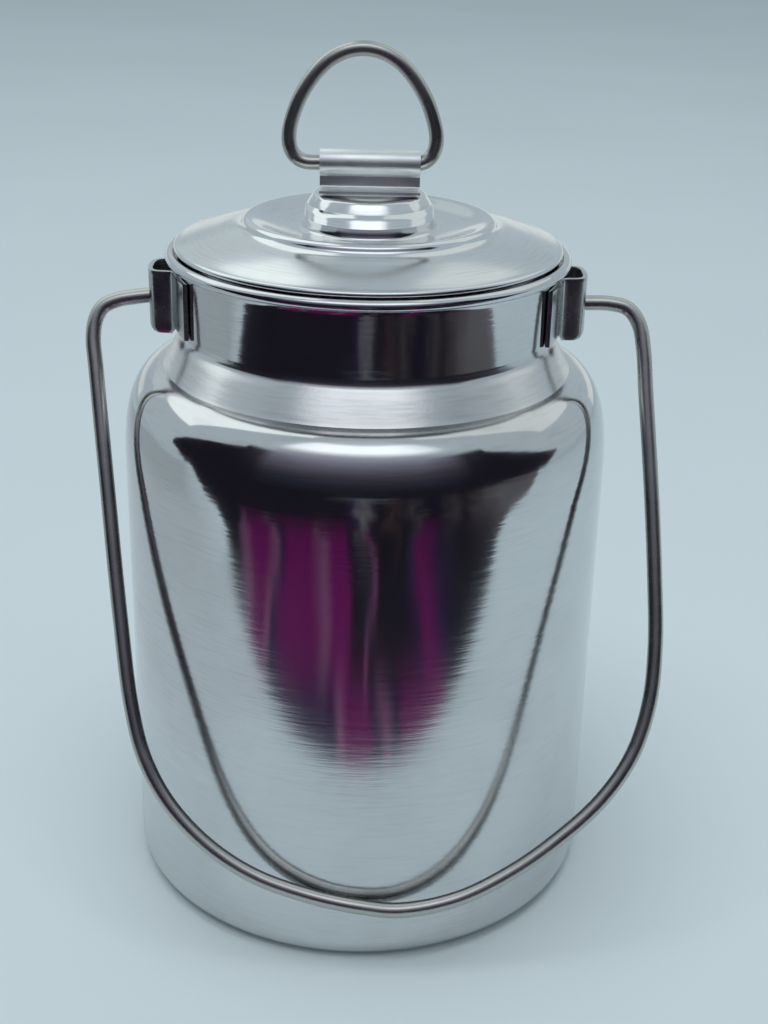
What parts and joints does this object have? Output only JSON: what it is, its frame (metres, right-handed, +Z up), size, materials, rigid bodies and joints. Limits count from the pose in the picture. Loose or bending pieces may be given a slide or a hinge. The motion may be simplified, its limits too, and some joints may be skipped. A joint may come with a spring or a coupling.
{
  "type": "milk can",
  "caption": "Stainless milk can with rolled rim, swinging wire bail on side ears, and a lift-off plug lid with a hinged finger loop.",
  "frame": {"origin": "centre of the flat base, on the can's axis, in the plane it stands on", "axes": "+Z up along the can's axis, +X to the right ear, -Y to the front where the bail rests"},
  "size_m": [0.1534, 0.1348, 0.2303],
  "materials": {
    "body_steel": "spun and polished, fine circumferential lines",
    "ear_steel": "polished pressing",
    "wire_steel": "mirror polished wire",
    "lid_steel": "mirror polished pressing",
    "clip_steel": "polished strap"
  },
  "bodies": {
    "can": {"can_body": "body_steel", "ear_left": "ear_steel", "ear_right": "ear_steel"},
    "bail": {"bail": "wire_steel"},
    "lid": {"lid": "lid_steel", "lid_clip": "clip_steel"},
    "loop": {"lid_loop": "wire_steel"}
  },
  "joints": [
    {"name": "bail_swing", "type": "hinge", "parent": "can", "child": "bail", "pos_m": [0, 0, 0.1646], "axis": [-1, 0, 0], "range_deg": [0, 309.8]},
    {"name": "lid_lift", "type": "slide", "parent": "can", "child": "lid", "axis": [0, 0, 1], "range_m": [0, 0.03]},
    {"name": "loop_fold", "type": "hinge", "parent": "lid", "child": "loop", "pos_m": [-0.002, 0, 0.20015], "axis": [1, 0, 0], "range_deg": [-110, 110]}
  ]
}
